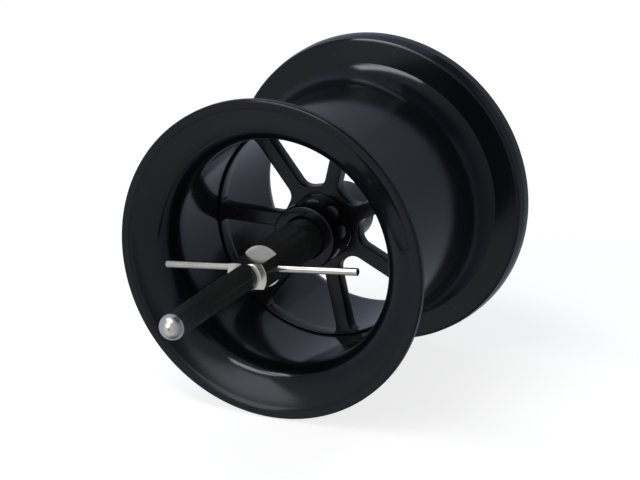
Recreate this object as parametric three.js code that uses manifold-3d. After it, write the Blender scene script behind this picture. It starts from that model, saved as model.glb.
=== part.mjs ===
// Fishing-reel line spool: a black anodised drum on a black-coated steel shaft.
// Millimetres, +Z up. The shaft lies along Y, with its handle-side tip towards -Y.
// Inside the spool group, y is the station: the distance behind the front plane of
// the handle-side flange. The group's own position puts the middle of the whole
// length at the origin.
import * as THREE from 'three';
import { mergeVertices } from 'three/addons/utils/BufferGeometryUtils.js';
import Module from 'manifold-3d';

const wasm = await Module();
wasm.setup();

// ---- driving dimensions ----
const FLANGE_R = 19.25;
const DRUM_WIDTH = 32.2;
const BARREL_R = 14.4;
const BORE_R = 13.6;
const FILLET_R = 1.8;
const EDGE = 0.25;

const HANDLE_BACK = 2.6;
const HANDLE_RIM_BACK = 0.9;
const HANDLE_LIP_R = 18.35;
const HANDLE_JOIN = 5.6;
const PALM_FACE = 29.4;
const PALM_FACE_R = 18.75;
const PALM_CREASE = 28.93;
const PALM_CREASE_R = 16.2;
const PALM_BLEND_R = 5.0;
const PALM_CROWN_FRONT = 30.8;
const PALM_DISC_BACK = 30.7;
const PALM_SKIRT_R = 18.05;
const PALM_JOIN = 25.0;

const WEB_FRONT = 14.3;
const WEB_THICKNESS = 1.8;
const WEB_R = 13.5;
const WEB_HOLE_R = 3.7;
const SPOKE_COUNT = 7;
const SPOKE_WIDTH = 1.7;
const SPOKE_ANGLE = THREE.MathUtils.degToRad(180);
const WINDOW_INNER_R = 5.0;
const WINDOW_OUTER_R = 13.2;
const WINDOW_CORNER = 1.3;
const WINDOW_ARC_STEPS = 5;

const BOSS_FRONT = 9.4;
const BOSS_BACK = 21.6;
const BOSS_FRONT_R = 3.95;
const BOSS_BACK_R = 3.6;
const BOSS_BORE_R = 2.56;
const BOSS_MOUTH_R = 2.75;

const TIP_FRONT = -25.4;
const TIP_BACK = 44.6;
const JOURNAL_R = 1.5;
const TONGUE_FRONT = -5.6;
const TONGUE_BACK = -1.65;
const CORE_R = 2.5;
const TAIL_R = 1.8;
const TAIL_BACK = 36.6;
const FLAT_GAP = 3.0;

const PIN_STATION = -2.25;
const PIN_R = 0.45;
const PIN_LENGTH = 24.5;
const PIN_SHIFT = 0.2;
const PIN_ANGLE = THREE.MathUtils.degToRad(6.1);
const PIN_HOLE_R = 0.5;

const BEARING_FRONT = 36.7;
const BEARING_WIDTH = 4.0;
const BEARING_R = 5.0;
const BEARING_BORE_R = 1.54;
const PITCH_R = 3.25;
const BALL_R = 0.79;
const RACEWAY_R = 0.86;
const INNER_LAND_R = 2.75;
const OUTER_LAND_R = 3.75;
const BALL_COUNT = 7;
const SHIELD_THICKNESS = 0.2;
const SHIELD_INSET = 0.05;
const SHIELD_INNER_R = 2.9;
const SHIELD_OUTER_R = 4.2;
const REBATE_R = 4.3;
const REBATE_DEPTH = 0.35;
const RACE_CHAMFER = 0.2;
const CAGE_INNER_R = 3.0;
const CAGE_OUTER_R = 3.5;
const CAGE_HALF_WIDTH = 1.15;
const POCKET_R = 0.88;

const CLIP_FRONT = 41.1;
const CLIP_THICKNESS = 0.4;
const CLIP_OUTER_R = 2.7;
const CLIP_INNER_R = 1.26;
const CLIP_MOUTH = 1.6;
const GROOVE_R = 1.2;
const GROOVE_SLACK = 0.05;

const MIDDLE = (TIP_FRONT + TIP_BACK) / 2;

// ---- materials ----
const metal = (color, roughness, metalness) =>
  new THREE.MeshStandardMaterial({ color, roughness, metalness });
const drumBlack = metal(0x15161a, 0.28, 0.85);
const webBlack = metal(0x121316, 0.32, 0.85);
const bossBlack = metal(0x0f1012, 0.2, 0.85);
const shaftBlack = metal(0x101112, 0.12, 0.9);
const pinSteel = metal(0xd8d6d2, 0.2, 1.0);
const raceSteel = metal(0xb4b7ba, 0.25, 1.0);
const ballSteel = metal(0xdcdee0, 0.06, 1.0);
const cageSteel = metal(0x9a9c9f, 0.4, 1.0);
const clipSteel = metal(0x55585c, 0.4, 1.0);

// ---- helpers ----
const SIDES_LARGE = 48;
const SIDES_SMALL = 24;

function arcPoints(centreR, centreY, radius, fromDegrees, toDegrees, steps) {
  // Points on an arc in the radius-station plane; 0 degrees points away from the axis.
  const points = [];
  for (let i = 0; i <= steps; i += 1) {
    const angle = THREE.MathUtils.degToRad(fromDegrees + ((toDegrees - fromDegrees) * i) / steps);
    const r = centreR + radius * Math.cos(angle);
    const y = centreY + radius * Math.sin(angle);
    points.push([r, y]);
  }
  return points;
}

function turned(points, sides) {
  // A closed profile runs anticlockwise, so that its surface faces out.
  const profile = points.map(([r, y]) => new THREE.Vector2(r, y));
  if (THREE.ShapeUtils.area(profile) < 0) profile.reverse();
  return new THREE.LatheGeometry(profile, sides);
}

function turnedRing(points, sides) {
  const profile = points.map(([r, y]) => new THREE.Vector2(r, y));
  if (THREE.ShapeUtils.area(profile) < 0) profile.reverse();
  profile.push(profile[0].clone());
  return new THREE.LatheGeometry(profile, sides);
}

function toManifold(geometry) {
  const bare = geometry.clone();
  bare.deleteAttribute('normal');
  bare.deleteAttribute('uv');
  const merged = mergeVertices(bare, 1e-5);
  const vertProperties = new Float32Array(merged.attributes.position.array);
  const triVerts = new Uint32Array(merged.index.array);
  return new wasm.Manifold(new wasm.Mesh({ numProp: 3, vertProperties, triVerts }));
}

function fromManifold(solid) {
  const { numProp, vertProperties, triVerts } = solid.getMesh();
  const positions = [];
  for (let i = 0; i < vertProperties.length; i += numProp) {
    positions.push(vertProperties[i], vertProperties[i + 1], vertProperties[i + 2]);
  }
  const geometry = new THREE.BufferGeometry();
  geometry.setAttribute('position', new THREE.Float32BufferAttribute(positions, 3));
  geometry.setIndex(new THREE.BufferAttribute(new Uint32Array(triVerts), 1));
  geometry.computeVertexNormals();
  return geometry;
}

function cut(geometry, cutters) {
  let solid = toManifold(geometry);
  for (const cutter of cutters) solid = solid.subtract(toManifold(cutter));
  return fromManifold(solid);
}

function named(name, geometry, material) {
  const mesh = new THREE.Mesh(geometry, material);
  mesh.name = name;
  return mesh;
}

function extrudedAlongY(shape, thickness, curveSegments) {
  // The shape's x and y become X and Z; the back face is left at y = 0.
  const options = { depth: thickness, bevelEnabled: false, curveSegments };
  return new THREE.ExtrudeGeometry(shape, options).rotateX(Math.PI / 2);
}

// ---- drum ----
function handleSideFlange() {
  // The dished front face runs from the lip into the bore as one smooth funnel.
  const funnel = new THREE.CubicBezierCurve(
    new THREE.Vector2(HANDLE_LIP_R - 0.2, 0.12),
    new THREE.Vector2(BARREL_R, 1.13),
    new THREE.Vector2(BORE_R, 2.0),
    new THREE.Vector2(BORE_R, HANDLE_JOIN),
  );
  const profile = [
    [FLANGE_R, EDGE],
    [FLANGE_R - EDGE, 0],
    [HANDLE_LIP_R, 0],
    ...funnel.getPoints(7).map((point) => [point.x, point.y]),
    [BARREL_R, HANDLE_JOIN],
    ...arcPoints(BARREL_R + FILLET_R, HANDLE_BACK + FILLET_R, FILLET_R, 180, 270, 4),
    [FLANGE_R - EDGE, HANDLE_RIM_BACK + EDGE],
    [FLANGE_R, HANDLE_RIM_BACK],
  ];
  return named('handle_side_flange', turnedRing(profile, SIDES_LARGE), drumBlack);
}

function drumBarrel() {
  const profile = [
    [BORE_R, HANDLE_JOIN],
    [BARREL_R, HANDLE_JOIN],
    [BARREL_R, PALM_JOIN],
    [BORE_R, PALM_JOIN],
  ];
  return named('drum_barrel', turnedRing(profile, SIDES_LARGE), drumBlack);
}

function palmSideFlange() {
  // The barrel sweeps up to a crease, and from there the face is a shallow cone. The rim
  // is a little crowned, and it overhangs the disc like a short skirt.
  const rise = 1 - (PALM_CREASE_R - BARREL_R) / PALM_BLEND_R;
  const creaseAngle = 180 - THREE.MathUtils.radToDeg(Math.acos(rise));
  const blendStart = PALM_CREASE - PALM_BLEND_R * Math.sqrt(1 - rise * rise);
  const profile = [
    [BORE_R, PALM_JOIN],
    [BARREL_R, PALM_JOIN],
    ...arcPoints(BARREL_R + PALM_BLEND_R, blendStart, PALM_BLEND_R, 180, creaseAngle, 4),
    [PALM_FACE_R, PALM_FACE],
    [PALM_FACE_R + 0.35, PALM_FACE + EDGE],
    [FLANGE_R, PALM_CROWN_FRONT],
    [FLANGE_R, DRUM_WIDTH - EDGE],
    [FLANGE_R - EDGE, DRUM_WIDTH],
    [PALM_SKIRT_R + EDGE, DRUM_WIDTH],
    [PALM_SKIRT_R, DRUM_WIDTH - EDGE],
    [PALM_SKIRT_R, PALM_DISC_BACK + EDGE],
    [PALM_SKIRT_R - EDGE, PALM_DISC_BACK],
    [BORE_R + 1.6, PALM_DISC_BACK],
    [BORE_R + 1.0, PALM_DISC_BACK - 0.2],
    [BORE_R + 0.45, PALM_DISC_BACK - 1.0],
    [BORE_R + 0.15, PALM_DISC_BACK - 2.1],
  ];
  return named('palm_side_flange', turnedRing(profile, SIDES_LARGE), drumBlack);
}

// ---- spoked web and its boss ----
function circlePoints(radius, sides) {
  const points = [];
  for (let i = 0; i < sides; i += 1) {
    const angle = (2 * Math.PI * i) / sides;
    points.push(new THREE.Vector2(radius * Math.cos(angle), radius * Math.sin(angle)));
  }
  return points;
}

function onCircle(radius, angle) {
  return new THREE.Vector2(radius * Math.cos(angle), radius * Math.sin(angle));
}

function roundedCorner(corner, before, after) {
  // Cuts the corner back along both of its sides and joins them with one curve.
  const start = corner.clone().lerp(before, WINDOW_CORNER / corner.distanceTo(before));
  const end = corner.clone().lerp(after, WINDOW_CORNER / corner.distanceTo(after));
  return new THREE.QuadraticBezierCurve(start, corner, end).getPoints(3);
}

function spokeEdge(radius, spokeAngle, side) {
  // Where a spoke's edge meets a circle; side is +1 or -1 round from the spoke.
  const turn = Math.asin(SPOKE_WIDTH / 2 / radius);
  return onCircle(radius, spokeAngle + side * turn);
}

function webWindow(index) {
  const pitch = (2 * Math.PI) / SPOKE_COUNT;
  const from = SPOKE_ANGLE + index * pitch;
  const to = from + pitch;
  const innerStart = spokeEdge(WINDOW_INNER_R, from, 1);
  const outerStart = spokeEdge(WINDOW_OUTER_R, from, 1);
  const outerEnd = spokeEdge(WINDOW_OUTER_R, to, -1);
  const innerEnd = spokeEdge(WINDOW_INNER_R, to, -1);
  const turn = Math.asin(SPOKE_WIDTH / 2 / WINDOW_OUTER_R) + WINDOW_CORNER / WINDOW_OUTER_R;
  const arcFrom = onCircle(WINDOW_OUTER_R, from + turn);
  const arcTo = onCircle(WINDOW_OUTER_R, to - turn);
  const points = [
    ...roundedCorner(innerStart, innerEnd, outerStart),
    ...roundedCorner(outerStart, innerStart, arcFrom),
  ];
  for (let i = 1; i < WINDOW_ARC_STEPS; i += 1) {
    const share = i / WINDOW_ARC_STEPS;
    points.push(onCircle(WINDOW_OUTER_R, from + turn + share * (pitch - 2 * turn)));
  }
  points.push(...roundedCorner(outerEnd, arcTo, innerEnd));
  points.push(...roundedCorner(innerEnd, outerEnd, innerStart));
  return new THREE.Path(points);
}

function spokeWeb() {
  const shape = new THREE.Shape(circlePoints(WEB_R, SIDES_LARGE));
  shape.holes.push(new THREE.Path(circlePoints(WEB_HOLE_R, SIDES_SMALL)));
  for (let i = 0; i < SPOKE_COUNT; i += 1) shape.holes.push(webWindow(i));
  const web = named('spoke_web', extrudedAlongY(shape, WEB_THICKNESS, 1), webBlack);
  web.position.y = WEB_FRONT + WEB_THICKNESS;
  return web;
}

function hubBoss() {
  const shoulder = WEB_FRONT - 0.05;
  const profile = [
    [BOSS_BORE_R, BOSS_FRONT + 0.5],
    [BOSS_MOUTH_R, BOSS_FRONT],
    [BOSS_FRONT_R - 0.25, BOSS_FRONT],
    [BOSS_FRONT_R, BOSS_FRONT + 0.25],
    [BOSS_FRONT_R, shoulder],
    [BOSS_BACK_R, shoulder],
    [BOSS_BACK_R, BOSS_BACK - 0.25],
    [BOSS_BACK_R - 0.25, BOSS_BACK],
    [BOSS_BORE_R, BOSS_BACK],
  ];
  return named('hub_boss', turnedRing(profile, SIDES_SMALL), bossBlack);
}

// ---- shaft and cross pin ----
function spoolShaft() {
  const clipBack = CLIP_FRONT + CLIP_THICKNESS;
  const profile = [
    ...arcPoints(0, TIP_FRONT + JOURNAL_R, JOURNAL_R, -90, 0, 6),
    [JOURNAL_R, TONGUE_FRONT - 0.5],
    ...arcPoints(JOURNAL_R + 0.5, TONGUE_FRONT - 0.5, 0.5, 180, 90, 3).slice(1),
    [CORE_R - 0.1, TONGUE_FRONT],
    [CORE_R, TONGUE_FRONT + 0.1],
    [CORE_R, BOSS_BACK + 0.3],
    [TAIL_R, BOSS_BACK + 0.9],
    [TAIL_R, TAIL_BACK],
    [JOURNAL_R, TAIL_BACK],
    [JOURNAL_R, CLIP_FRONT - GROOVE_SLACK],
    [GROOVE_R, CLIP_FRONT - GROOVE_SLACK],
    [GROOVE_R, clipBack + GROOVE_SLACK],
    [JOURNAL_R, clipBack + GROOVE_SLACK],
    ...arcPoints(0, TIP_BACK - JOURNAL_R, JOURNAL_R, 0, 90, 6),
  ];
  profile[0][0] = 0;
  profile[profile.length - 1][0] = 0;
  const tongueLength = TONGUE_BACK - TONGUE_FRONT;
  const cutters = [];
  for (const side of [1, -1]) {
    const slab = new THREE.BoxGeometry(3 * CORE_R, tongueLength + 1, CORE_R);
    slab.translate(0, TONGUE_BACK - (tongueLength + 1) / 2, side * (FLAT_GAP + CORE_R) / 2);
    cutters.push(slab.rotateY(-PIN_ANGLE));
  }
  const drill = new THREE.CylinderGeometry(PIN_HOLE_R, PIN_HOLE_R, 4 * CORE_R, 12);
  drill.rotateZ(Math.PI / 2).rotateY(-PIN_ANGLE).translate(0, PIN_STATION, 0);
  cutters.push(drill);
  return named('spool_shaft', cut(turned(profile, SIDES_SMALL), cutters), shaftBlack);
}

function brakePin() {
  const half = PIN_LENGTH / 2;
  const profile = [
    [0, -half],
    [PIN_R - 0.1, -half],
    [PIN_R, -half + 0.1],
    [PIN_R, half - 0.1],
    [PIN_R - 0.1, half],
    [0, half],
  ];
  const pin = named('brake_pin', turned(profile, 12).rotateZ(Math.PI / 2), pinSteel);
  pin.rotation.y = -PIN_ANGLE;
  pin.position.set(PIN_SHIFT * Math.cos(PIN_ANGLE), PIN_STATION, PIN_SHIFT * Math.sin(PIN_ANGLE));
  return pin;
}

// ---- palm-side ball bearing, built about the middle of its width ----
function bearingRace(name, wallR, landR, mouthR) {
  // The raceway is a shallow arc in the land, centred on the ball circle. A mouth
  // wider than the land leaves a rebate for a shield at each end.
  const half = BEARING_WIDTH / 2;
  const outward = wallR > landR ? 1 : -1;
  const chamfered = wallR - outward * RACE_CHAMFER;
  const turn = THREE.MathUtils.radToDeg(Math.acos(Math.abs(landR - PITCH_R) / RACEWAY_R));
  const middle = outward > 0 ? 0 : 180;
  const raceway = arcPoints(PITCH_R, 0, RACEWAY_R, middle - outward * turn, middle + outward * turn, 6);
  const rebate = (side) => [
    [landR, side * (half - REBATE_DEPTH)],
    [mouthR, side * (half - REBATE_DEPTH)],
  ];
  const profile = [
    [wallR, -half + RACE_CHAMFER],
    [chamfered, -half],
    [mouthR, -half],
    ...(mouthR === landR ? [] : rebate(-1).reverse()),
    ...raceway,
    ...(mouthR === landR ? [] : rebate(1)),
    [mouthR, half],
    [chamfered, half],
    [wallR, half - RACE_CHAMFER],
  ];
  return named(name, turnedRing(profile, SIDES_SMALL), raceSteel);
}

function ballCage() {
  const profile = [
    [CAGE_INNER_R, -CAGE_HALF_WIDTH],
    [CAGE_OUTER_R, -CAGE_HALF_WIDTH],
    [CAGE_OUTER_R, CAGE_HALF_WIDTH],
    [CAGE_INNER_R, CAGE_HALF_WIDTH],
  ];
  const pockets = [];
  for (let i = 0; i < BALL_COUNT; i += 1) {
    const pocket = new THREE.CylinderGeometry(POCKET_R, POCKET_R, 2, 12);
    pocket.rotateZ(Math.PI / 2).translate(PITCH_R, 0, 0);
    pockets.push(pocket.rotateY((2 * Math.PI * i) / BALL_COUNT));
  }
  return named('ball_cage', cut(turnedRing(profile, SIDES_SMALL), pockets), cageSteel);
}

function bearingBall(index) {
  const angle = (2 * Math.PI * index) / BALL_COUNT;
  const ball = named(`bearing_ball_${index + 1}`, new THREE.SphereGeometry(BALL_R, 10, 7), ballSteel);
  ball.position.set(PITCH_R * Math.cos(angle), 0, -PITCH_R * Math.sin(angle));
  return ball;
}

function bearingShield(name, side) {
  const outerY = BEARING_WIDTH / 2 - SHIELD_INSET;
  const profile = [
    [SHIELD_INNER_R, outerY - SHIELD_THICKNESS],
    [SHIELD_OUTER_R, outerY - SHIELD_THICKNESS],
    [SHIELD_OUTER_R, outerY],
    [SHIELD_INNER_R, outerY],
  ];
  const placed = profile.map(([r, y]) => [r, side * y]);
  return named(name, turnedRing(placed, SIDES_SMALL), raceSteel);
}

function palmBearing() {
  const bearing = new THREE.Group();
  bearing.position.y = BEARING_FRONT + BEARING_WIDTH / 2;
  bearing.add(bearingRace('bearing_inner_race', BEARING_BORE_R, INNER_LAND_R, INNER_LAND_R));
  bearing.add(bearingRace('bearing_outer_race', BEARING_R, OUTER_LAND_R, REBATE_R));
  bearing.add(ballCage());
  for (let i = 0; i < BALL_COUNT; i += 1) bearing.add(bearingBall(i));
  bearing.add(bearingShield('bearing_shield_drum_side', -1));
  bearing.add(bearingShield('bearing_shield_tip_side', 1));
  return bearing;
}

function retainingClip() {
  const mouth = Math.asin(CLIP_MOUTH / 2 / CLIP_OUTER_R);
  const throat = Math.asin(CLIP_MOUTH / 2 / CLIP_INNER_R);
  const down = -Math.PI / 2;
  const shape = new THREE.Shape();
  shape.absarc(0, 0, CLIP_OUTER_R, down + mouth, down - mouth + 2 * Math.PI, false);
  shape.absarc(0, 0, CLIP_INNER_R, down - throat + 2 * Math.PI, down + throat, true);
  shape.closePath();
  const clip = named('retaining_clip', extrudedAlongY(shape, CLIP_THICKNESS, 20), clipSteel);
  clip.position.y = CLIP_FRONT + CLIP_THICKNESS;
  return clip;
}

// ---- assembly ----
const spool = new THREE.Group();
spool.add(handleSideFlange(), drumBarrel(), palmSideFlange());
spool.add(spokeWeb(), hubBoss());
spool.add(spoolShaft(), brakePin());
spool.add(palmBearing(), retainingClip());
spool.position.y = -MIDDLE;

const part = new THREE.Group();
part.add(spool);

export default part;
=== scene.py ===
"""Looks of a fishing-reel line spool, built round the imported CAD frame.

The shaft lies along Y with its handle-side tip towards -Y. A "station" is a distance in
millimetres behind the front plane of the handle-side flange, and a profile is a list of
(radius, station, corner rounding) turned round the shaft.
"""

import math

import bmesh
import bpy
from mathutils import Matrix, Vector


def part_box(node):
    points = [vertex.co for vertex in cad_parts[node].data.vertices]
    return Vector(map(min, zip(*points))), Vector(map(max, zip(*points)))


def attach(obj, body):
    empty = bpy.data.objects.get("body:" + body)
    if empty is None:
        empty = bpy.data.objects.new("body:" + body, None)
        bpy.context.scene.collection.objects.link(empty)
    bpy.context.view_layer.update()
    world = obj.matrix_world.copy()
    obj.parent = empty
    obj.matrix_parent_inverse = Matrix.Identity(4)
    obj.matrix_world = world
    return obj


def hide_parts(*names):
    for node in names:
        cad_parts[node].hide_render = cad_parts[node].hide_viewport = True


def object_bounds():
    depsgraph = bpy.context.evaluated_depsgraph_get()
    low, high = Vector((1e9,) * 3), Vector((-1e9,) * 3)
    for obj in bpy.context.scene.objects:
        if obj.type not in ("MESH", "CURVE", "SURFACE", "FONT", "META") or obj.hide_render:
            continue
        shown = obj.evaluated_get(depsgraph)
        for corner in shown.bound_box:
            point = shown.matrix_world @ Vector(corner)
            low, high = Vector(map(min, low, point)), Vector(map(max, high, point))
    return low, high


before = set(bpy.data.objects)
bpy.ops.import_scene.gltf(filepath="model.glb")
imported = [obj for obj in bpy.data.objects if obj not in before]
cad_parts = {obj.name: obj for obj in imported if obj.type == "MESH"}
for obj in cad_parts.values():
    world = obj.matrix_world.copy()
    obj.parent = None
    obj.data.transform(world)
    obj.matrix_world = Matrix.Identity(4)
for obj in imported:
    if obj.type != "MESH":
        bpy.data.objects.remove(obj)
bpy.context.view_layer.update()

MM = 0.001
RIM_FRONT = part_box("handle_side_flange")[0].y / MM
FLANGE_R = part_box("handle_side_flange")[1].x / MM
DRUM_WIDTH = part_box("palm_side_flange")[1].y / MM - RIM_FRONT
TIP_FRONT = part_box("spool_shaft")[0].y / MM - RIM_FRONT
TIP_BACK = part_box("spool_shaft")[1].y / MM - RIM_FRONT
FLOOR_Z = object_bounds()[0][2]


def station(mm):
    """The Y of a station, in metres."""
    return (RIM_FRONT + mm) * MM


# ---------------------------------------------------------------- camera

CAMERA_AZIMUTH = math.radians(25.23)
CAMERA_ELEVATION = math.radians(18.73)
CAMERA_DISTANCE = 21.398 * FLANGE_R * MM
CAMERA_LENS = 201.4
AIM_RIGHT = 0.3084 * FLANGE_R * MM
AIM_UP = 0.1310 * FLANGE_R * MM


def make_camera():
    sin_a, cos_a = math.sin(CAMERA_AZIMUTH), math.cos(CAMERA_AZIMUTH)
    sin_e, cos_e = math.sin(CAMERA_ELEVATION), math.cos(CAMERA_ELEVATION)
    right = Vector((cos_a, sin_a, 0.0))
    up = Vector((-sin_a * sin_e, cos_a * sin_e, cos_e))
    back = Vector((sin_a * cos_e, -cos_a * cos_e, sin_e))
    aim = Vector((0.0, station(0), 0.0)) + AIM_RIGHT * right + AIM_UP * up
    data = bpy.data.cameras.new("camera")
    data.lens = CAMERA_LENS
    data.sensor_width = 36.0
    data.clip_start = 0.01
    data.clip_end = 20.0
    camera = bpy.data.objects.new("camera", data)
    bpy.context.scene.collection.objects.link(camera)
    turn = Matrix((right, up, back)).transposed().to_4x4()
    camera.matrix_world = Matrix.Translation(aim + CAMERA_DISTANCE * back) @ turn
    bpy.context.scene.camera = camera


# ---------------------------------------------------------------- mesh helpers

STRAIGHT = math.radians(89.5)  # half of a corner's angle, past which it isn't rounded
CORNER_SHARE = 0.49  # how much of a side one corner's arc may take
AXIS_R = 1e-6
MERGE_DISTANCE = 1e-6
SHAFT_SHARP_DEGREES = 25
FLAT_SHARP_DEGREES = 30


def rounded(corners, steps=7, closed=True):
    """Replaces each (r, s, radius) corner of a profile by an arc that touches both sides."""
    count = len(corners)
    points = []
    for i, (r, s, radius) in enumerate(corners):
        here = Vector((r, s))
        if radius <= 0 or (not closed and i in (0, count - 1)):
            points.append((r, s))
            continue
        before = Vector(corners[i - 1][:2]) - here
        after = Vector(corners[(i + 1) % count][:2]) - here
        half = before.angle(after) / 2
        if half > STRAIGHT:
            points.append((r, s))
            continue
        room = CORNER_SHARE * min(before.length, after.length)
        reach = min(radius / math.tan(half), room)
        fit = reach * math.tan(half)
        bisector = (before.normalized() + after.normalized()).normalized()
        centre = here + bisector * (fit / math.sin(half))
        start = here + before.normalized() * reach - centre
        end = here + after.normalized() * reach - centre
        sweep = start.angle_signed(end)
        for k in range(steps + 1):
            swung = start.copy()
            swung.rotate(Matrix.Rotation(-sweep * k / steps, 2))
            points.append(tuple(centre + swung))
    return points


def link(name, mesh):
    piece = bpy.data.objects.new(name, mesh)
    bpy.context.scene.collection.objects.link(piece)
    return piece


def finish_mesh(name, bm, sharp_degrees=28):
    bmesh.ops.recalc_face_normals(bm, faces=bm.faces)
    mesh = bpy.data.meshes.new(name)
    bm.to_mesh(mesh)
    bm.free()
    mesh.polygons.foreach_set("use_smooth", [True] * len(mesh.polygons))
    mesh.set_sharp_from_angle(angle=math.radians(sharp_degrees))
    return link(name, mesh)


def turned_bmesh(points, sides, closed=True):
    """Turns (radius, station) points round the shaft."""
    bm = bmesh.new()
    rings = []
    for r, s in points:
        if r < AXIS_R:
            rings.append([bm.verts.new((0.0, station(s), 0.0))])
            continue
        ring = []
        for k in range(sides):
            angle = 2 * math.pi * k / sides
            x, z = r * math.cos(angle), r * math.sin(angle)
            ring.append(bm.verts.new((x * MM, station(s), z * MM)))
        rings.append(ring)
    pairs = list(zip(rings, rings[1:]))
    if closed:
        pairs.append((rings[-1], rings[0]))
    for a, b in pairs:
        for k in range(sides):
            n = (k + 1) % sides
            if len(a) == 1 and len(b) == 1:
                break
            if len(a) == 1:
                bm.faces.new((a[0], b[k], b[n]))
            elif len(b) == 1:
                bm.faces.new((a[k], b[0], a[n]))
            else:
                bm.faces.new((a[k], b[k], b[n], a[n]))
    return bm


def turned(name, corners, sides=192, closed=True, steps=7, sharp_degrees=28):
    points = rounded(corners, steps=steps, closed=closed)
    return finish_mesh(name, turned_bmesh(points, sides, closed), sharp_degrees)


# ---------------------------------------------------------------- materials

def math_node(tree, operation, a, b=None):
    made = tree.nodes.new("ShaderNodeMath")
    made.operation = operation
    for socket, value in zip(made.inputs, (a, b)):
        if value is None:
            continue
        if isinstance(value, (int, float)):
            socket.default_value = value
        else:
            tree.links.new(value, socket)
    return made.outputs[0]


def ramp(tree, fac, stops):
    made = tree.nodes.new("ShaderNodeValToRGB")
    tree.links.new(fac, made.inputs["Fac"])
    elements = made.color_ramp.elements
    while len(elements) > len(stops):
        elements.remove(elements[-1])
    while len(elements) < len(stops):
        elements.new(1.0)
    for element, (position, colour) in zip(elements, stops):
        element.position = position
        element.color = (*colour, 1.0)
    return made.outputs["Color"]


SURFACE_IOR = 1.45


def new_material(name, colour, metallic, roughness):
    material = bpy.data.materials.new(name)
    material.use_nodes = True
    tree = material.node_tree
    shader = tree.nodes["Principled BSDF"]
    shader.inputs["Base Color"].default_value = (*colour, 1.0)
    shader.inputs["Metallic"].default_value = metallic
    shader.inputs["Roughness"].default_value = roughness
    shader.inputs["IOR"].default_value = SURFACE_IOR
    return material, tree, shader


def axis_coordinates(tree):
    """Object coordinates, the distance from the shaft's axis and the place along it."""
    coordinates = tree.nodes.new("ShaderNodeTexCoord").outputs["Object"]
    parts = tree.nodes.new("ShaderNodeSeparateXYZ")
    tree.links.new(coordinates, parts.inputs[0])
    x2 = math_node(tree, "MULTIPLY", parts.outputs["X"], parts.outputs["X"])
    z2 = math_node(tree, "MULTIPLY", parts.outputs["Z"], parts.outputs["Z"])
    radius = math_node(tree, "SQRT", math_node(tree, "ADD", x2, z2))
    return coordinates, radius, parts.outputs["Y"]


def turning_marks(tree, radius, along, pitch):
    """A fine groove pattern, the same all the way round, like a lathe tool's feed marks."""
    path = math_node(tree, "ADD", radius, along)
    scaled = math_node(tree, "MULTIPLY", path, 1.0 / pitch)
    marks = tree.nodes.new("ShaderNodeTexNoise")
    marks.noise_dimensions = "1D"
    marks.inputs["Scale"].default_value = 1.0
    marks.inputs["Detail"].default_value = 3.0
    tree.links.new(scaled, marks.inputs["W"])
    return marks.outputs["Fac"]


def bump(tree, height, strength, distance):
    made = tree.nodes.new("ShaderNodeBump")
    made.inputs["Strength"].default_value = strength
    made.inputs["Distance"].default_value = distance
    tree.links.new(height, made.inputs["Height"])
    return made.outputs["Normal"]


DUST_COLOUR = (0.16, 0.16, 0.17, 1.0)
FILM_TINT = (0.86, 0.9, 1.0, 1.0)


def anodised(name, colour, roughness, turned_look=0.5, mark_pitch=0.00006):
    """A dark glossy film on metal, with turning marks and a little dust."""
    material, tree, shader = new_material(name, colour, 0.0, roughness)
    coordinates, radius, along = axis_coordinates(tree)
    marks = turning_marks(tree, radius, along, mark_pitch)
    cloud = tree.nodes.new("ShaderNodeTexNoise")
    cloud.inputs["Scale"].default_value = 90.0
    cloud.inputs["Detail"].default_value = 4.0
    tree.links.new(coordinates, cloud.inputs["Vector"])
    dust = tree.nodes.new("ShaderNodeTexVoronoi")
    dust.inputs["Scale"].default_value = 420.0
    tree.links.new(coordinates, dust.inputs["Vector"])
    speck = ramp(tree, dust.outputs["Distance"], [(0.0, (1, 1, 1)), (0.05, (0, 0, 0))])
    tint = ramp(tree, cloud.outputs["Fac"], [
        (0.3, tuple(c * 0.8 for c in colour)),
        (0.7, tuple(c * 1.25 for c in colour)),
    ])
    mixed = tree.nodes.new("ShaderNodeMix")
    mixed.data_type = "RGBA"
    mixed.inputs["B"].default_value = DUST_COLOUR
    tree.links.new(tint, mixed.inputs["A"])
    tree.links.new(math_node(tree, "MULTIPLY", speck, 0.25), mixed.inputs["Factor"])
    tree.links.new(mixed.outputs["Result"], shader.inputs["Base Color"])
    spread = math_node(tree, "MULTIPLY", math_node(tree, "SUBTRACT", cloud.outputs["Fac"], 0.5), 0.06)
    tree.links.new(math_node(tree, "ADD", spread, roughness), shader.inputs["Roughness"])
    shader.inputs["Anisotropic"].default_value = turned_look
    shader.inputs["Anisotropic Rotation"].default_value = 0.25
    shader.inputs["Specular Tint"].default_value = FILM_TINT
    tangent = tree.nodes.new("ShaderNodeTangent")
    tangent.direction_type = "RADIAL"
    tangent.axis = "Y"
    tree.links.new(tangent.outputs[0], shader.inputs["Tangent"])
    tree.links.new(bump(tree, marks, 0.25, 0.000004), shader.inputs["Normal"])
    return material


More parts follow.
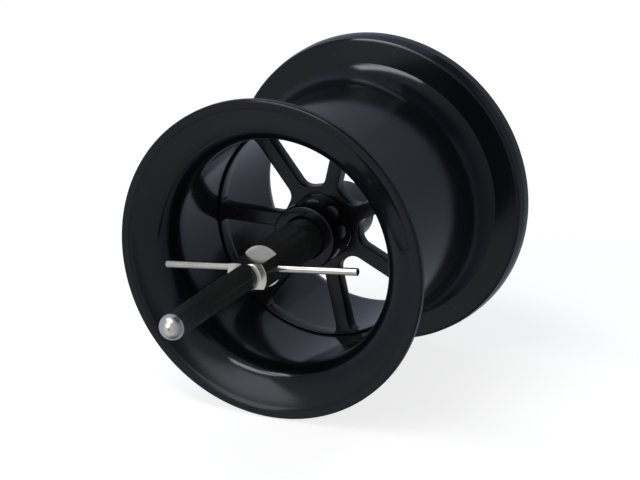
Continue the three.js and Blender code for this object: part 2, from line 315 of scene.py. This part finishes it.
def steel(name, colour, roughness, mark_strength=0.12, mark_pitch=0.00008):
    """Polished or ground steel, with fine marks round it and a slight cloudiness."""
    material, tree, shader = new_material(name, colour, 1.0, roughness)
    coordinates, radius, along = axis_coordinates(tree)
    marks = turning_marks(tree, radius, along, mark_pitch)
    cloud = tree.nodes.new("ShaderNodeTexNoise")
    cloud.inputs["Scale"].default_value = 700.0
    cloud.inputs["Detail"].default_value = 5.0
    tree.links.new(coordinates, cloud.inputs["Vector"])
    tint = ramp(tree, cloud.outputs["Fac"], [
        (0.25, tuple(c * 0.9 for c in colour)),
        (0.75, tuple(min(1.0, c * 1.06) for c in colour)),
    ])
    tree.links.new(tint, shader.inputs["Base Color"])
    spread = math_node(tree, "MULTIPLY", cloud.outputs["Fac"], 0.08)
    tree.links.new(math_node(tree, "ADD", spread, roughness - 0.03), shader.inputs["Roughness"])
    tree.links.new(bump(tree, marks, mark_strength, 0.000003), shader.inputs["Normal"])
    return material


drum_black = anodised("drum_anodised", (0.0036, 0.0038, 0.0056), 0.13, turned_look=0.5)
web_black = anodised("web_anodised", (0.005, 0.005, 0.006), 0.2, turned_look=0.2)
boss_black = anodised("boss_anodised", (0.003, 0.003, 0.004), 0.1, turned_look=0.0)
shaft_black = anodised("shaft_black", (0.016, 0.0165, 0.016), 0.2, turned_look=0.2, mark_pitch=0.00009)
shaft_steel = steel("shaft_steel", (0.95, 0.925, 0.89), 0.2)
pin_steel = steel("pin_steel", (0.74, 0.72, 0.69), 0.16, mark_strength=0.3)
race_steel = steel("race_steel", (0.56, 0.57, 0.58), 0.2)
ball_steel = steel("ball_steel", (0.75, 0.75, 0.76), 0.05, mark_strength=0.02)
cage_steel = steel("cage_steel", (0.45, 0.45, 0.46), 0.35)
clip_steel = steel("clip_steel", (0.13, 0.13, 0.14), 0.3)


def dress(piece, body, slot, material, *replaced):
    piece.data.materials.append(material)
    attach(piece, body)
    if replaced:
        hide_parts(*replaced)
    return piece


# ---------------------------------------------------------------- drum

BARREL_R = 14.4
BORE_R = 13.6
FILLET_R = 1.8
HANDLE_RIM_BACK = 0.9
HANDLE_FILLET_CORNER = 3.57
LIP_R = 18.15
LIP_BEVEL = 0.15
FUNNEL_START = 0.12
FUNNEL_BEND = 1.13
FUNNEL_MOUTH = 2.0
FUNNEL_END = 5.6
PALM_FACE = 29.4
PALM_FACE_R = 18.85
PALM_CREASE = 28.93
PALM_CREASE_R = 16.2
PALM_BLEND_R = 5.0
PALM_DISC_BACK = 30.7
PALM_STEP_R = 19.1
PALM_STEP = 0.25
PALM_CROWN = 1.4
SKIRT_R = 18.05
RECESS_R = 14.75
BORE_FLARE = 2.3


def funnel(steps=28):
    """The near flange's hollow face, from its lip into the bore, as profile corners."""
    lip, bend = Vector((LIP_R, FUNNEL_START)), Vector((BARREL_R, FUNNEL_BEND))
    mouth, bore = Vector((BORE_R, FUNNEL_MOUTH)), Vector((BORE_R, FUNNEL_END))
    points = []
    for k in range(steps + 1):
        t = k / steps
        u = 1 - t
        place = lip * u ** 3 + bend * (3 * u * u * t) + mouth * (3 * u * t * t) + bore * t ** 3
        points.append((*place, 0.0))
    return points


def palm_sweep(steps=18):
    """The barrel's concave sweep up to the far flange's crease, as profile corners."""
    rise = 1 - (PALM_CREASE_R - BARREL_R) / PALM_BLEND_R
    start = PALM_CREASE - PALM_BLEND_R * math.sqrt(1 - rise * rise)
    turn = math.acos(rise)
    points = []
    for k in range(steps + 1):
        angle = turn * k / steps
        r = BARREL_R + PALM_BLEND_R * (1 - math.cos(angle))
        points.append((r, start + PALM_BLEND_R * math.sin(angle), 0.0))
    return points


def make_drum():
    corners = [
        (FLANGE_R, 0.0, 0.3),
        (FLANGE_R, HANDLE_RIM_BACK, 0.15),
        (BARREL_R, HANDLE_FILLET_CORNER, FILLET_R),
        *palm_sweep(),
        (PALM_FACE_R, PALM_FACE, 0.25),
        (PALM_STEP_R, PALM_FACE + PALM_STEP, 0.2),
        (FLANGE_R, PALM_FACE + PALM_CROWN, 1.0),
        (FLANGE_R, DRUM_WIDTH, 0.2),
        (SKIRT_R, DRUM_WIDTH, 0.2),
        (SKIRT_R, PALM_DISC_BACK, 0.5),
        (RECESS_R, PALM_DISC_BACK, 0.5),
        (BORE_R, PALM_DISC_BACK - BORE_FLARE, 3.0),
        *funnel()[::-1],
        (LIP_R + LIP_BEVEL, 0.0, 0.1),
    ]
    drum = turned("drum", corners, sides=288, steps=10, sharp_degrees=25)
    return dress(drum, "spool", "drum_anodised", drum_black,
                 "handle_side_flange", "drum_barrel", "palm_side_flange")


# ---------------------------------------------------------------- web

WEB_FRONT = 14.3
WEB_BACK = 16.1
SPOKES = 7
SPOKE_WIDTH = 1.7
WINDOW_INNER_R = 5.0
WINDOW_OUTER_R = 13.32
WEB_R = 13.56
WEB_HOLE_R = 3.9
WEB_BEVEL = 0.1
WINDOW_INNER_CORNER = 1.0
WINDOW_OUTER_CORNER = 1.5
SPOKE_ANGLE = math.radians(180)


def circle_points(radius, count):
    angles = [2 * math.pi * k / count for k in range(count)]
    return [(radius * math.cos(angle), radius * math.sin(angle)) for angle in angles]


def window_points(index):
    """One window's outline: two spoke edges and two arcs, with rounded corners."""
    pitch = 2 * math.pi / SPOKES
    start = SPOKE_ANGLE + index * pitch
    half = SPOKE_WIDTH / 2

    def on(radius, angle):
        return Vector((radius * math.cos(angle), radius * math.sin(angle)))

    inner = math.asin(half / WINDOW_INNER_R)
    outer = math.asin(half / WINDOW_OUTER_R)
    corners = [(on(WINDOW_INNER_R, start + inner), WINDOW_INNER_CORNER),
               (on(WINDOW_OUTER_R, start + outer), WINDOW_OUTER_CORNER)]
    arc_steps = 14
    for k in range(1, arc_steps):
        share = start + outer + (pitch - 2 * outer) * k / arc_steps
        corners.append((on(WINDOW_OUTER_R, share), 0.0))
    corners.append((on(WINDOW_OUTER_R, start + pitch - outer), WINDOW_OUTER_CORNER))
    corners.append((on(WINDOW_INNER_R, start + pitch - inner), WINDOW_INNER_CORNER))
    return rounded_outline(corners)


def rounded_outline(corners, steps=8):
    """Rounds the corners of a closed outline by quadratic curves of the given reach."""
    points = []
    count = len(corners)
    for i, (corner, reach) in enumerate(corners):
        if not reach:
            points.append(corner)
            continue
        before = corners[i - 1][0]
        after = corners[(i + 1) % count][0]
        start = corner.lerp(before, min(0.95, reach / (before - corner).length))
        end = corner.lerp(after, min(0.95, reach / (after - corner).length))
        for k in range(steps + 1):
            t = k / steps
            points.append(start * (1 - t) ** 2 + corner * (2 * t * (1 - t)) + end * t ** 2)
    return points


def make_web():
    curve = bpy.data.curves.new("web_outline", "CURVE")
    curve.dimensions = "2D"
    curve.fill_mode = "BOTH"
    bevel = WEB_BEVEL * MM
    curve.extrude = (WEB_BACK - WEB_FRONT) / 2 * MM - bevel
    curve.bevel_depth = bevel
    curve.bevel_resolution = 3
    curve.offset = -bevel
    outlines = [circle_points(WEB_R, 192), circle_points(WEB_HOLE_R, 96)]
    outlines += [window_points(i) for i in range(SPOKES)]
    for outline in outlines:
        spline = curve.splines.new("POLY")
        spline.points.add(len(outline) - 1)
        for point, (x, z) in zip(spline.points, outline):
            point.co = (x * MM, z * MM, 0.0, 1.0)
        spline.use_cyclic_u = True
    shape = bpy.data.objects.new("web_outline", curve)
    bpy.context.scene.collection.objects.link(shape)
    bpy.context.view_layer.update()
    evaluated = shape.evaluated_get(bpy.context.evaluated_depsgraph_get())
    mesh = bpy.data.meshes.new_from_object(evaluated)
    bpy.data.objects.remove(shape)
    middle = station((WEB_FRONT + WEB_BACK) / 2)
    mesh.transform(Matrix.Translation((0, middle, 0)) @ Matrix.Rotation(math.radians(90), 4, "X"))
    bm = bmesh.new()
    bm.from_mesh(mesh)
    bmesh.ops.remove_doubles(bm, verts=bm.verts, dist=MERGE_DISTANCE)
    bpy.data.meshes.remove(mesh)
    web = finish_mesh("web", bm, FLAT_SHARP_DEGREES)
    return dress(web, "spool", "web_anodised", web_black, "spoke_web")


BOSS_FRONT = 9.4
BOSS_BACK = 21.6
BOSS_FRONT_R = 3.95
BOSS_BACK_R = 3.6
BOSS_BORE_R = 2.56
BOSS_MOUTH_R = 2.66
BOSS_MOUTH_DEPTH = 0.5
BOSS_STEP = 14.2


def make_boss():
    corners = [
        (BOSS_BORE_R, BOSS_FRONT + BOSS_MOUTH_DEPTH, 0.0),
        (BOSS_MOUTH_R, BOSS_FRONT, 0.06),
        (BOSS_FRONT_R, BOSS_FRONT, 0.3),
        (BOSS_FRONT_R, BOSS_STEP, 0.1),
        (BOSS_BACK_R, WEB_FRONT, 0.0),
        (BOSS_BACK_R, BOSS_BACK, 0.25),
        (BOSS_BORE_R, BOSS_BACK, 0.1),
    ]
    boss = turned("boss", corners, sides=128)
    return dress(boss, "spool", "boss_anodised", boss_black, "hub_boss")


# ---------------------------------------------------------------- shaft and cross pin

JOURNAL_R = 1.5
CORE_R = 2.5
CORE_BACK = 21.9
TAIL_R = 1.8
TAIL_FRONT = 22.5
TAIL_BACK = 36.6
GROOVE_R = 1.2
GROOVE_FRONT = 41.05
GROOVE_BACK = 41.55
FLAT_HALF = 1.5
TONGUE_FRONT = -5.6
TONGUE_BACK = -1.65
TONGUE_FILLET = 0.35
PIN_ANGLE = math.radians(6.1)
PIN_STATION = -2.25
PIN_R = 0.45
PIN_LENGTH = 24.5
PIN_SHIFT = 0.2


def ball_end(tip, radius, side, steps=16):
    """A hemisphere's profile; side is -1 where the shaft starts and +1 where it ends."""
    points = []
    for k in range(steps + 1):
        angle = math.pi / 2 * k / steps
        points.append((radius * math.sin(angle), tip - side * radius * (1 - math.cos(angle))))
    points[0] = (0.0, tip)
    return points if side < 0 else points[::-1]


def cutter(name, size, centre, turn=0.0):
    bm = bmesh.new()
    bmesh.ops.create_cube(bm, size=1.0)
    place = Matrix.Rotation(turn, 4, "Y") @ Matrix.Translation(centre) @ Matrix.Diagonal((*size, 1.0))
    bmesh.ops.transform(bm, matrix=place, verts=bm.verts)
    mesh = bpy.data.meshes.new(name)
    bm.to_mesh(mesh)
    bm.free()
    return link(name, mesh)


def subtract(piece, cutters):
    for tool in cutters:
        modifier = piece.modifiers.new("cut", "BOOLEAN")
        modifier.object = tool
        modifier.operation = "DIFFERENCE"
        modifier.solver = "EXACT"
    bpy.context.view_layer.update()
    evaluated = piece.evaluated_get(bpy.context.evaluated_depsgraph_get())
    mesh = bpy.data.meshes.new_from_object(evaluated)
    piece.modifiers.clear()
    piece.data = mesh
    for tool in cutters:
        bpy.data.objects.remove(tool)


def make_shaft():
    middle = rounded([
        (JOURNAL_R, TIP_FRONT + JOURNAL_R, 0.0),
        (JOURNAL_R, TONGUE_FRONT, TONGUE_FILLET),
        (CORE_R, TONGUE_FRONT, 0.1),
        (CORE_R, CORE_BACK, 0.1),
        (TAIL_R, TAIL_FRONT, 0.1),
        (TAIL_R, TAIL_BACK, 0.05),
        (JOURNAL_R, TAIL_BACK, 0.05),
        (JOURNAL_R, GROOVE_FRONT, 0.03),
        (GROOVE_R, GROOVE_FRONT, 0.03),
        (GROOVE_R, GROOVE_BACK, 0.03),
        (JOURNAL_R, GROOVE_BACK, 0.03),
        (JOURNAL_R, TIP_BACK - JOURNAL_R, 0.0),
    ], steps=5, closed=False)
    points = ball_end(TIP_FRONT, JOURNAL_R, -1) + middle[1:-1] + ball_end(TIP_BACK, JOURNAL_R, 1)
    shaft = finish_mesh("shaft", turned_bmesh(points, 128, closed=False), SHAFT_SHARP_DEGREES)
    length = TONGUE_BACK - TONGUE_FRONT + 1.0
    tools = []
    for side in (1, -1):
        centre = (0.0, station(TONGUE_BACK - length / 2), side * (FLAT_HALF + CORE_R / 2) * MM)
        size = (3 * CORE_R * MM, length * MM, CORE_R * MM)
        tools.append(cutter("flat_tool", size, centre, -PIN_ANGLE))
    subtract(shaft, tools)
    shaft.data.polygons.foreach_set("use_smooth", [True] * len(shaft.data.polygons))
    shaft.data.set_sharp_from_angle(angle=math.radians(SHAFT_SHARP_DEGREES))
    shaft.data.materials.clear()
    dress(shaft, "spool", "shaft_black", shaft_black, "spool_shaft")
    shaft.data.materials.append(shaft_steel)
    for face in shaft.data.polygons:
        face.material_index = 1 if is_bare(face) else 0
    return shaft


def is_bare(face):
    """Bare metal shows at both ball ends and on the two steps of the tongue."""
    place = face.center.y / MM - RIM_FRONT
    ball = place < TIP_FRONT + 0.9 * JOURNAL_R or place > TIP_BACK - 0.9 * JOURNAL_R
    tongue = TONGUE_FRONT - TONGUE_FILLET < place < TONGUE_BACK + 0.05
    return ball or (tongue and face.normal.y < -0.1)


def make_pin():
    """The cross pin, built along Y and then laid through the tongue."""
    half = PIN_LENGTH / 2
    corners = [(0.0, -half, 0.0), (PIN_R, -half, 0.08), (PIN_R, half, 0.08), (0.0, half, 0.0)]
    bm = turned_bmesh(rounded(corners, closed=False), 48, closed=False)
    to_origin = Matrix.Translation((0, PIN_SHIFT * MM - station(0), 0))
    lay = Matrix.Rotation(-PIN_ANGLE, 4, "Y") @ Matrix.Rotation(math.radians(-90), 4, "Z")
    place = Matrix.Translation((0, station(PIN_STATION), 0)) @ lay @ to_origin
    bmesh.ops.transform(bm, matrix=place, verts=bm.verts)
    pin = finish_mesh("cross_pin", bm)
    return dress(pin, "spool", "pin_steel", pin_steel, "brake_pin")


# ---------------------------------------------------------------- bearing and clip

BEARING_MIDDLE = 38.7
HALF_WIDTH = 2.0
PITCH_R = 3.25
BALL_R = 0.79
BALLS = 7
RACEWAY_R = 0.86
RACE_BORE_R = 1.54
RACE_OUTER_R = 5.0
INNER_LAND_R = 2.75
OUTER_LAND_R = 3.75
REBATE_R = 4.3
REBATE_DEPTH = 0.35
SHIELD_INSET = 0.05
SHIELD_THICKNESS = 0.2
SHIELD_INNER_R = 2.9
SHIELD_OUTER_R = 4.2
CAGE_HALF_WIDTH = 1.15
CAGE_INNER_R = 3.0
CAGE_OUTER_R = 3.5
POCKET_R = 0.88


def raceway(land_r, side, steps=12):
    """Points of the ball groove in a race's land; side is +1 on the outer race."""
    turn = math.acos(abs(land_r - PITCH_R) / RACEWAY_R)
    points = []
    for k in range(steps + 1):
        angle = -turn + 2 * turn * k / steps
        radius = PITCH_R + side * RACEWAY_R * math.cos(angle)
        points.append((radius, BEARING_MIDDLE + RACEWAY_R * math.sin(angle), 0.0))
    return points


def make_races(front, back):
    inner = [
        (RACE_BORE_R, front, 0.15), (INNER_LAND_R, front, 0.08),
        *raceway(INNER_LAND_R, -1),
        (INNER_LAND_R, back, 0.08), (RACE_BORE_R, back, 0.15),
    ]
    outer = [
        (RACE_OUTER_R, front, 0.25), (REBATE_R, front, 0.05),
        (REBATE_R, front + REBATE_DEPTH, 0.03), (OUTER_LAND_R, front + REBATE_DEPTH, 0.03),
        *raceway(OUTER_LAND_R, 1),
        (OUTER_LAND_R, back - REBATE_DEPTH, 0.03), (REBATE_R, back - REBATE_DEPTH, 0.03),
        (REBATE_R, back, 0.05), (RACE_OUTER_R, back, 0.25),
    ]
    inner_race = turned("inner_race", inner, sides=96, steps=4)
    dress(inner_race, "spool", "race_steel", race_steel, "bearing_inner_race")
    outer_race = turned("outer_race", outer, sides=128, steps=5)
    dress(outer_race, "bearing_outer", "race_steel", race_steel, "bearing_outer_race")


def make_shield(name, edge, inward):
    """A dished ring; inward is +1 or -1, the way along the shaft to the bearing's middle."""
    dished = [
        (SHIELD_INNER_R, edge + inward * SHIELD_THICKNESS, 0.03),
        (SHIELD_INNER_R, edge + inward * 0.08, 0.03),
        (3.3, edge + inward * 0.08, 0.1),
        (3.5, edge, 0.1),
        (SHIELD_OUTER_R, edge, 0.04),
        (SHIELD_OUTER_R, edge + inward * SHIELD_THICKNESS, 0.04),
        (3.55, edge + inward * SHIELD_THICKNESS, 0.1),
    ]
    shield = turned(name, dished, sides=96, steps=4)
    dress(shield, "bearing_outer", "race_steel", race_steel, "bearing_" + name)


def make_bearing():
    front, back = BEARING_MIDDLE - HALF_WIDTH, BEARING_MIDDLE + HALF_WIDTH
    make_races(front, back)
    make_shield("shield_drum_side", front + SHIELD_INSET, 1)
    make_shield("shield_tip_side", back - SHIELD_INSET, -1)


def make_cage():
    """A ring with a round pocket for each ball."""
    front, back = BEARING_MIDDLE - CAGE_HALF_WIDTH, BEARING_MIDDLE + CAGE_HALF_WIDTH
    corners = [(CAGE_INNER_R, front, 0.06), (CAGE_OUTER_R, front, 0.06),
               (CAGE_OUTER_R, back, 0.06), (CAGE_INNER_R, back, 0.06)]
    cage = turned("ball_cage_ring", corners, sides=126, steps=3)
    pockets = []
    for index in range(BALLS):
        bm = bmesh.new()
        bmesh.ops.create_uvsphere(bm, u_segments=40, v_segments=24, radius=POCKET_R * MM)
        bmesh.ops.translate(bm, vec=ball_centre(index), verts=bm.verts)
        mesh = bpy.data.meshes.new("pocket_tool")
        bm.to_mesh(mesh)
        bm.free()
        pockets.append(link("pocket_tool", mesh))
    subtract(cage, pockets)
    return dress(cage, "ball_set", "cage_steel", cage_steel, "ball_cage")


def ball_centre(index):
    angle = 2 * math.pi * index / BALLS
    x, z = PITCH_R * math.cos(angle) * MM, -PITCH_R * math.sin(angle) * MM
    return Vector((x, station(BEARING_MIDDLE), z))


def make_ball(index):
    bm = bmesh.new()
    bmesh.ops.create_icosphere(bm, subdivisions=4, radius=BALL_R * MM)
    bmesh.ops.translate(bm, vec=ball_centre(index), verts=bm.verts)
    ball = finish_mesh(f"ball_{index + 1}", bm)
    return dress(ball, "ball_set", "ball_steel", ball_steel, f"bearing_ball_{index + 1}")


CLIP_MIDDLE = 41.3
CLIP_OUTER_R = 2.7
CLIP_INNER_R = 1.9
CLIP_FOOT_R = 1.27
CLIP_MOUTH = math.radians(34)
CLIP_FOOT_HALF = math.radians(21)
CLIP_FEET = (math.radians(38), math.pi, 2 * math.pi - math.radians(38))
CLIP_HALF_PLATE = 0.17
CLIP_BEVEL = 0.03


def clip_points(outer_steps=48, inner_steps=96):
    """The clip's outline: once round its outside, then back along its inside and feet."""
    span = 2 * math.pi - CLIP_MOUTH
    outline = []
    for k in range(outer_steps + 1):
        angle = -math.pi / 2 + CLIP_MOUTH / 2 + span * k / outer_steps
        outline.append((CLIP_OUTER_R * math.cos(angle), CLIP_OUTER_R * math.sin(angle)))
    for k in range(inner_steps + 1):
        angle = -math.pi / 2 - CLIP_MOUTH / 2 + 2 * math.pi - span * k / inner_steps
        turn = (angle + math.pi / 2) % (2 * math.pi)
        near = min(abs(turn - spot) for spot in CLIP_FEET)
        radius = CLIP_FOOT_R if near < CLIP_FOOT_HALF else CLIP_INNER_R
        outline.append((radius * math.cos(angle), radius * math.sin(angle)))
    return outline


def make_clip():
    """An E-clip: an open ring with three feet that reach into the shaft's groove."""
    outline = clip_points()
    curve = bpy.data.curves.new("clip_outline", "CURVE")
    curve.dimensions = "2D"
    curve.fill_mode = "BOTH"
    curve.extrude = CLIP_HALF_PLATE * MM
    curve.bevel_depth = CLIP_BEVEL * MM
    curve.offset = -CLIP_BEVEL * MM
    spline = curve.splines.new("POLY")
    spline.points.add(len(outline) - 1)
    for point, (x, z) in zip(spline.points, outline):
        point.co = (x * MM, z * MM, 0.0, 1.0)
    spline.use_cyclic_u = True
    shape = bpy.data.objects.new("clip_outline", curve)
    bpy.context.scene.collection.objects.link(shape)
    bpy.context.view_layer.update()
    evaluated = shape.evaluated_get(bpy.context.evaluated_depsgraph_get())
    mesh = bpy.data.meshes.new_from_object(evaluated)
    bpy.data.objects.remove(shape)
    middle = station(CLIP_MIDDLE)
    mesh.transform(Matrix.Translation((0, middle, 0)) @ Matrix.Rotation(math.radians(90), 4, "X"))
    bm = bmesh.new()
    bm.from_mesh(mesh)
    bmesh.ops.remove_doubles(bm, verts=bm.verts, dist=MERGE_DISTANCE)
    clip = finish_mesh("clip", bm, FLAT_SHARP_DEGREES)
    return dress(clip, "spool", "clip_steel", clip_steel, "retaining_clip")


# ---------------------------------------------------------------- floor and light

def make_floor():
    bm = bmesh.new()
    bmesh.ops.create_grid(bm, x_segments=1, y_segments=1, size=3.0)
    bmesh.ops.translate(bm, vec=(0, 0, FLOOR_Z - 0.0001), verts=bm.verts)
    mesh = bpy.data.meshes.new("floor")
    bm.to_mesh(mesh)
    bm.free()
    floor = link("floor", mesh)
    material, _, shader = new_material("floor_white", (0.35, 0.35, 0.35), 0.0, 0.9)
    shader.inputs["Emission Color"].default_value = (1.0, 1.0, 1.0, 1.0)
    shader.inputs["Emission Strength"].default_value = 0.8
    floor.data.materials.append(material)
    floor.visible_glossy = False


# Light round the object by azimuth in degrees, where 0 is -Y and +90 is +X: how bright, and
# how far it goes from a neutral tint at the front to a cool one at the back.
ROOM_LEVELS = [
    (-180, 0.32, 1.0), (-140, 0.3, 1.0), (-100, 0.34, 1.0), (-60, 0.34, 0.4), (-36, 0.5, 0.0),
    (-10, 0.46, 0.0), (12, 0.42, 0.0), (27, 0.4, 0.0), (40, 0.36, 0.0), (70, 0.26, 0.5),
    (100, 0.14, 1.0), (150, 0.26, 1.0), (180, 0.32, 1.0),
]
COOL_TINT = Vector((0.9, 1.0, 1.22))
NEUTRAL_TINT = Vector((1.02, 1.0, 0.98))
PANEL_LEVEL = 1.8
PATCH_DIMMING = 0.7
NADIR_LEVEL = 0.25

# Patches of the room in degrees, as (start, full, full, end) of azimuth and of elevation.
GAP = ((-12.5, -9, 1, 9), (-24, -12, 4, 14))
DARK_CORNER = ((60, 100, 179, 180), (26, 40, 89, 90))
PANEL = ((-33, -29.5, -16, 8), (5, 12, 42, 52))


def smooth_step(tree, value, start, end):
    """Rises from 0 at start to 1 at end, or falls where end is the smaller."""
    made = tree.nodes.new("ShaderNodeMapRange")
    made.interpolation_type = "SMOOTHSTEP"
    made.inputs["From Min"].default_value = min(start, end)
    made.inputs["From Max"].default_value = max(start, end)
    made.inputs["To Min"].default_value = 0.0 if start < end else 1.0
    made.inputs["To Max"].default_value = 1.0 if start < end else 0.0
    tree.links.new(value, made.inputs["Value"])
    return made.outputs["Result"]


def patch(tree, azimuth, elevation, sides, rows):
    """A soft-edged patch of sky: (start, full, full, end) in azimuth and in elevation."""
    made = math_node(tree, "MULTIPLY", smooth_step(tree, azimuth, *sides[:2]),
                     smooth_step(tree, azimuth, sides[3], sides[2]))
    for step in (rows[:2], (rows[3], rows[2])):
        made = math_node(tree, "MULTIPLY", made, smooth_step(tree, elevation, *step))
    return made


def make_world():
    """A dim room with a tall soft panel at the front left; the camera sees plain white."""
    world = bpy.data.worlds.new("studio")
    world.use_nodes = True
    bpy.context.scene.world = world
    tree = world.node_tree
    tree.nodes.clear()
    output = tree.nodes.new("ShaderNodeOutputWorld")
    background = tree.nodes.new("ShaderNodeBackground")
    tree.links.new(background.outputs[0], output.inputs[0])
    parts = tree.nodes.new("ShaderNodeSeparateXYZ")
    tree.links.new(tree.nodes.new("ShaderNodeTexCoord").outputs["Generated"], parts.inputs[0])
    toward_front = math_node(tree, "MULTIPLY", parts.outputs["Y"], -1.0)
    azimuth = math_node(tree, "DEGREES", math_node(tree, "ARCTAN2", parts.outputs["X"], toward_front))
    elevation = math_node(tree, "DEGREES", math_node(tree, "ARCSINE", parts.outputs["Z"]))
    turn = math_node(tree, "ADD", math_node(tree, "DIVIDE", azimuth, 360.0), 0.5)
    stops = []
    for degrees, level, coolness in ROOM_LEVELS:
        stops.append((degrees / 360 + 0.5, tuple(level * NEUTRAL_TINT.lerp(COOL_TINT, coolness))))
    room = ramp(tree, turn, stops)
    above_nadir = smooth_step(tree, elevation, -85, -48)
    above_nadir = math_node(tree, "MULTIPLY", above_nadir, 1 - NADIR_LEVEL)
    shade = math_node(tree, "ADD", above_nadir, NADIR_LEVEL)
    for sides, rows in (GAP, DARK_CORNER):
        dark = math_node(tree, "MULTIPLY", patch(tree, azimuth, elevation, sides, rows), PATCH_DIMMING)
        shade = math_node(tree, "MULTIPLY", shade, math_node(tree, "SUBTRACT", 1.0, dark))
    panel = math_node(tree, "MULTIPLY", patch(tree, azimuth, elevation, *PANEL), PANEL_LEVEL)
    shaded = tree.nodes.new("ShaderNodeVectorMath")
    shaded.operation = "MULTIPLY_ADD"
    tree.links.new(room, shaded.inputs[0])
    tree.links.new(shade, shaded.inputs[1])
    tree.links.new(panel, shaded.inputs[2])
    path = tree.nodes.new("ShaderNodeLightPath")
    mixed = tree.nodes.new("ShaderNodeMix")
    mixed.data_type = "RGBA"
    mixed.inputs["B"].default_value = (1.0, 1.0, 1.0, 1.0)
    tree.links.new(shaded.outputs["Vector"], mixed.inputs["A"])
    tree.links.new(path.outputs["Is Camera Ray"], mixed.inputs["Factor"])
    tree.links.new(mixed.outputs["Result"], background.inputs["Color"])


def make_softbox(name, direction, distance, size, power):
    data = bpy.data.lights.new(name, "AREA")
    data.shape = "RECTANGLE"
    data.size, data.size_y = size
    data.energy = power
    light = bpy.data.objects.new(name, data)
    bpy.context.scene.collection.objects.link(light)
    toward = Vector(direction).normalized()
    light.location = toward * distance
    light.rotation_euler = toward.to_track_quat("Z", "Y").to_euler()
    light.visible_camera = False


make_camera()
make_drum()
make_web()
make_boss()
make_shaft()
make_pin()
make_bearing()
make_cage()
for ball_index in range(BALLS):
    make_ball(ball_index)
make_clip()
make_floor()
make_world()
make_softbox("overhead", direction=(-0.24, -0.36, 0.9), distance=1.0, size=(0.8, 0.2), power=3.4)

bpy.context.scene.view_settings.view_transform = "Standard"
